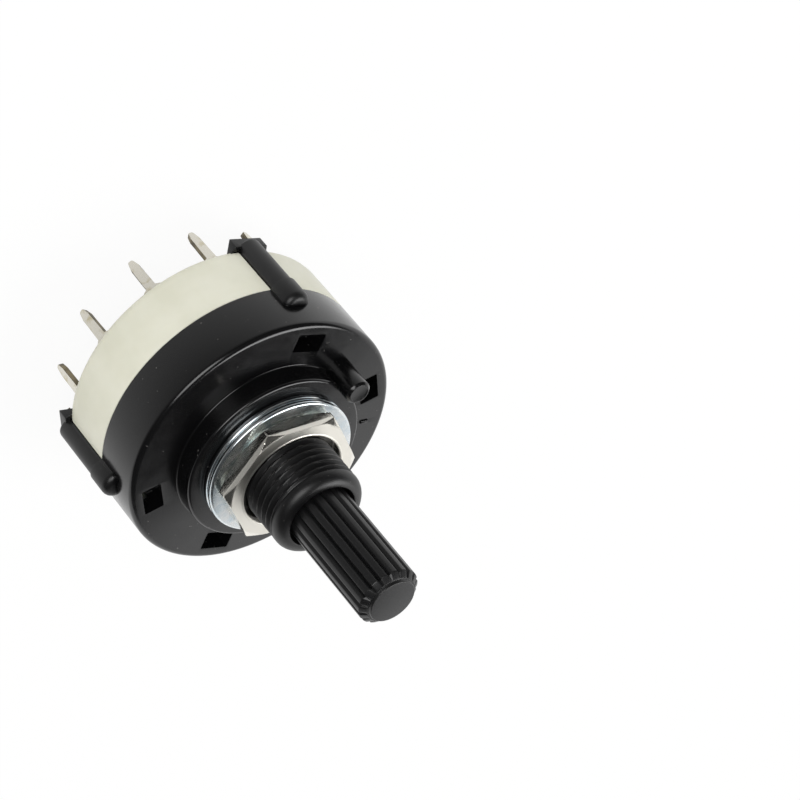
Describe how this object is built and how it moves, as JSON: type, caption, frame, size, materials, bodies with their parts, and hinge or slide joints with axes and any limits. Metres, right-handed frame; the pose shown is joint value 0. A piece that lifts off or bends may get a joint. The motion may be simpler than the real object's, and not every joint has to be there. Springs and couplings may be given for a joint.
{
  "type": "rotary selector switch",
  "caption": "Round snap-together rotary selector switch with a splined plastic shaft, threaded bushing, hex nut and a ring of flat board terminals.",
  "frame": {"origin": "on the shaft axis at the tips of the terminals", "axes": "+Z along the shaft towards its splined end; +X through terminal 1; terminals are numbered counter-clockwise seen from the shaft end"},
  "size_m": [0.0286, 0.0286, 0.0375],
  "materials": {
    "black_plastic": "moulded black plastic, half gloss",
    "cream_plastic": "moulded cream plastic, fine satin",
    "shaft_plastic": "moulded black plastic, satin",
    "tinned_brass": "tinned brass strip",
    "contact_brass": "sprung contact brass",
    "zinc_steel": "bright zinc plated steel",
    "nickel_brass": "nickel plated, polished",
    "bright_steel": "bright steel"
  },
  "bodies": {
    "switch_body": {"front_housing": "black_plastic", "base": "cream_plastic", "terminal_1": "tinned_brass", "terminal_2": "tinned_brass", "terminal_3": "tinned_brass", "terminal_4": "tinned_brass", "terminal_5": "tinned_brass", "terminal_6": "tinned_brass", "terminal_7": "tinned_brass", "terminal_8": "tinned_brass", "terminal_9": "tinned_brass", "terminal_10": "tinned_brass", "terminal_11": "tinned_brass", "terminal_12": "tinned_brass", "common_terminal_a": "tinned_brass", "common_terminal_b": "tinned_brass", "common_terminal_c": "tinned_brass", "stop_ring": "zinc_steel", "washer": "zinc_steel", "hex_nut": "nickel_brass"},
    "rotor": {"rotor_shaft": "shaft_plastic", "detent_spring": "bright_steel", "detent_ball_1": "bright_steel", "detent_ball_2": "bright_steel", "wiper_a": "contact_brass", "wiper_b": "contact_brass", "wiper_c": "contact_brass"}
  },
  "joints": [
    {"name": "shaft_turn", "type": "hinge", "parent": "switch_body", "child": "rotor", "pos_m": [0, 0, 0.0235], "axis": [0, 0, 1], "range_deg": [0, 90]}
  ]
}
